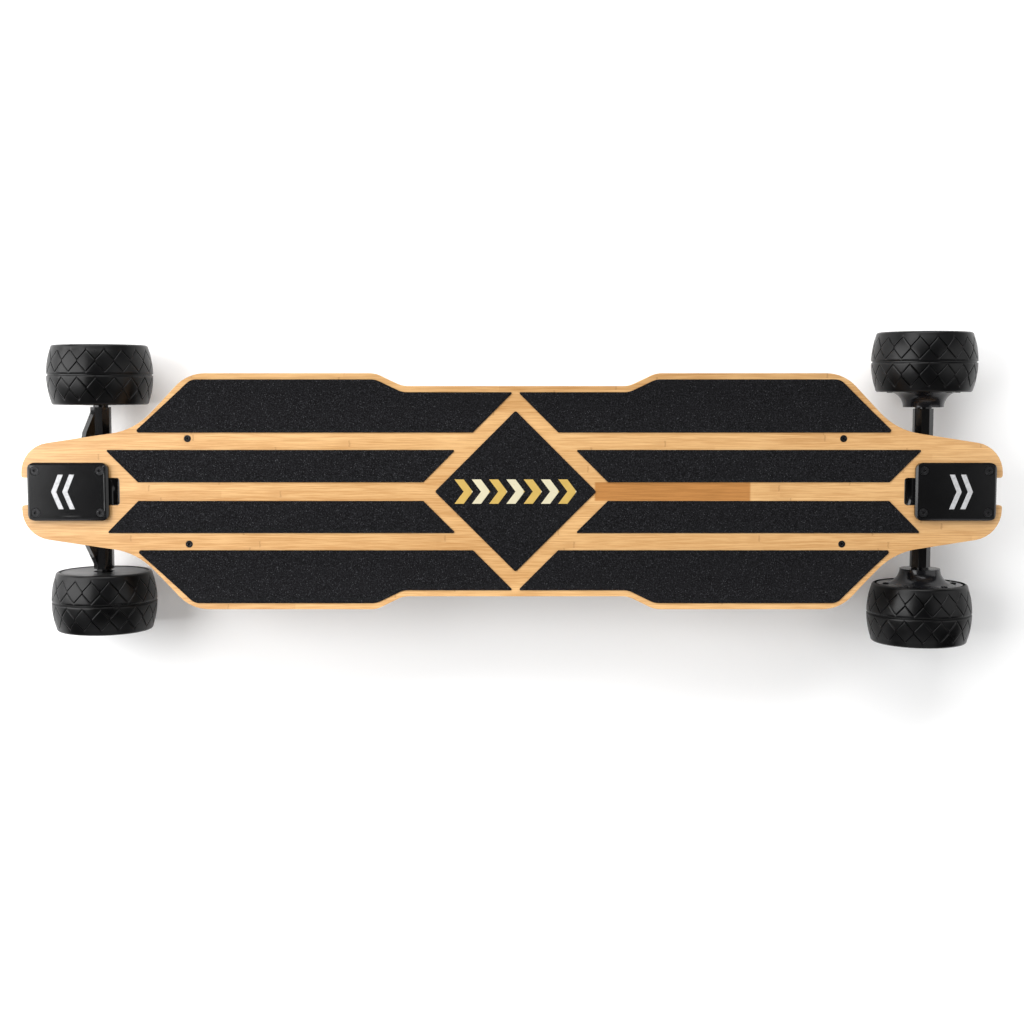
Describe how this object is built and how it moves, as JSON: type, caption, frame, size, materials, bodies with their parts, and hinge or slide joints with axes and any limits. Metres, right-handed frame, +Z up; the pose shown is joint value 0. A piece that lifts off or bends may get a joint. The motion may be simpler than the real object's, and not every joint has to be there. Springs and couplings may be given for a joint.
{
  "type": "electric skateboard",
  "caption": "Electric longboard: slotted bamboo deck with grip panels, drop-through steering trucks, free front wheels, hub-motor rear wheels and an under-deck battery box.",
  "frame": {"origin": "on the floor, under the middle of the deck (bottom centre of the overall box)", "axes": "+X along the board towards the motor (rear) end, +Y across to the rider's right when facing the front wheels, +Z up"},
  "size_m": [0.965, 0.315, 0.1113],
  "materials": {
    "bamboo": "satin",
    "grip_sheet": "matte",
    "gold_foil": "satin",
    "silver_print": "satin",
    "black_casting": "satin",
    "bright_steel": "satin",
    "black_steel": "satin",
    "urethane": "satin",
    "cup_plastic": "matte",
    "tread_rubber": "satin",
    "core_plastic": "gloss",
    "motor_black": "gloss",
    "winding": "satin",
    "box_plastic": "matte",
    "seal_foam": "matte",
    "cell_wrap": "gloss",
    "circuit_board": "satin",
    "bare_aluminium": "satin",
    "soft_cap": "matte"
  },
  "bodies": {
    "deck": {"deck": "bamboo", "grip_diamond": "grip_sheet", "grip_outer_front": "grip_sheet", "grip_outer_rear": "grip_sheet", "grip_inner_front": "grip_sheet", "grip_inner_rear": "grip_sheet", "diamond_emblem": "gold_foil", "plate_emblems": "silver_print", "front_baseplate": "black_casting", "rear_baseplate": "black_casting", "truck_bolts": "black_steel", "truck_nuts": "bright_steel", "front_kingpin": "bright_steel", "rear_kingpin": "bright_steel", "kingpin_nuts": "bright_steel", "bushing_washers": "bright_steel", "front_upper_bushing": "urethane", "front_lower_bushing": "urethane", "rear_upper_bushing": "urethane", "rear_lower_bushing": "urethane", "front_pivot_cup": "cup_plastic", "rear_pivot_cup": "cup_plastic", "battery_box": "box_plastic", "box_seal": "seal_foam", "deck_bolts": "black_steel", "battery_cells": "cell_wrap", "cell_holders": "cup_plastic", "battery_board": "circuit_board", "motor_controller": "circuit_board", "heat_spreader": "bare_aluminium", "button_housing": "box_plastic", "charge_socket": "box_plastic", "cap_pin": "bright_steel", "cable_glands": "box_plastic"},
    "front_hanger": {"front_hanger": "black_casting", "front_axle": "bright_steel", "front_axle_nuts": "bright_steel", "front_speed_rings": "bright_steel"},
    "rear_hanger": {"rear_hanger": "black_casting", "rear_axle": "bright_steel", "rear_left_stator": "winding", "rear_right_stator": "winding"},
    "power_button": {"power_button": "bright_steel"},
    "charge_cap": {"charge_cap": "soft_cap"},
    "front_left_wheel": {"front_left_tyre": "tread_rubber", "front_left_core": "core_plastic", "front_left_bearings": "bright_steel"},
    "rear_left_wheel": {"rear_left_tyre": "tread_rubber", "rear_left_rotor": "motor_black", "rear_left_cover": "motor_black", "rear_left_screws": "black_steel", "rear_left_bearings": "bright_steel"},
    "front_right_wheel": {"front_right_tyre": "tread_rubber", "front_right_core": "core_plastic", "front_right_bearings": "bright_steel"},
    "rear_right_wheel": {"rear_right_tyre": "tread_rubber", "rear_right_rotor": "motor_black", "rear_right_cover": "motor_black", "rear_right_screws": "black_steel", "rear_right_bearings": "bright_steel"}
  },
  "joints": [
    {"name": "front_steer", "type": "hinge", "parent": "deck", "child": "front_hanger", "pos_m": [-0.417, 0, 0.0525], "axis": [-0.7071, 0, 0.7071], "range_deg": [-12, 12], "stiffness_Nm_per_rad": 60, "deforming": ["front_upper_bushing", "front_lower_bushing"]},
    {"name": "rear_steer", "type": "hinge", "parent": "deck", "child": "rear_hanger", "pos_m": [0.417, 0, 0.0525], "axis": [0.7071, 0, 0.7071], "range_deg": [-12, 12], "stiffness_Nm_per_rad": 60, "deforming": ["rear_upper_bushing", "rear_lower_bushing"]},
    {"name": "front_left_spin", "type": "hinge", "parent": "front_hanger", "child": "front_left_wheel", "pos_m": [-0.417, -0.1147, 0.0525], "axis": [0, 1, 0], "continuous": true},
    {"name": "front_right_spin", "type": "hinge", "parent": "front_hanger", "child": "front_right_wheel", "pos_m": [-0.417, 0.1147, 0.0525], "axis": [0, 1, 0], "continuous": true},
    {"name": "rear_left_spin", "type": "hinge", "parent": "rear_hanger", "child": "rear_left_wheel", "pos_m": [0.417, -0.1275, 0.0525], "axis": [0, 1, 0], "continuous": true},
    {"name": "rear_right_spin", "type": "hinge", "parent": "rear_hanger", "child": "rear_right_wheel", "pos_m": [0.417, 0.1275, 0.0525], "axis": [0, 1, 0], "continuous": true},
    {"name": "power_press", "type": "slide", "parent": "deck", "child": "power_button", "axis": [0, 1, 0], "range_m": [0, 0.0015], "stiffness_N_per_m": 400, "springref_m": -0.001},
    {"name": "cap_hinge", "type": "hinge", "parent": "deck", "child": "charge_cap", "pos_m": [0.227, -0.07, 0.076], "axis": [0, 0, -1], "range_deg": [0, 120]}
  ]
}
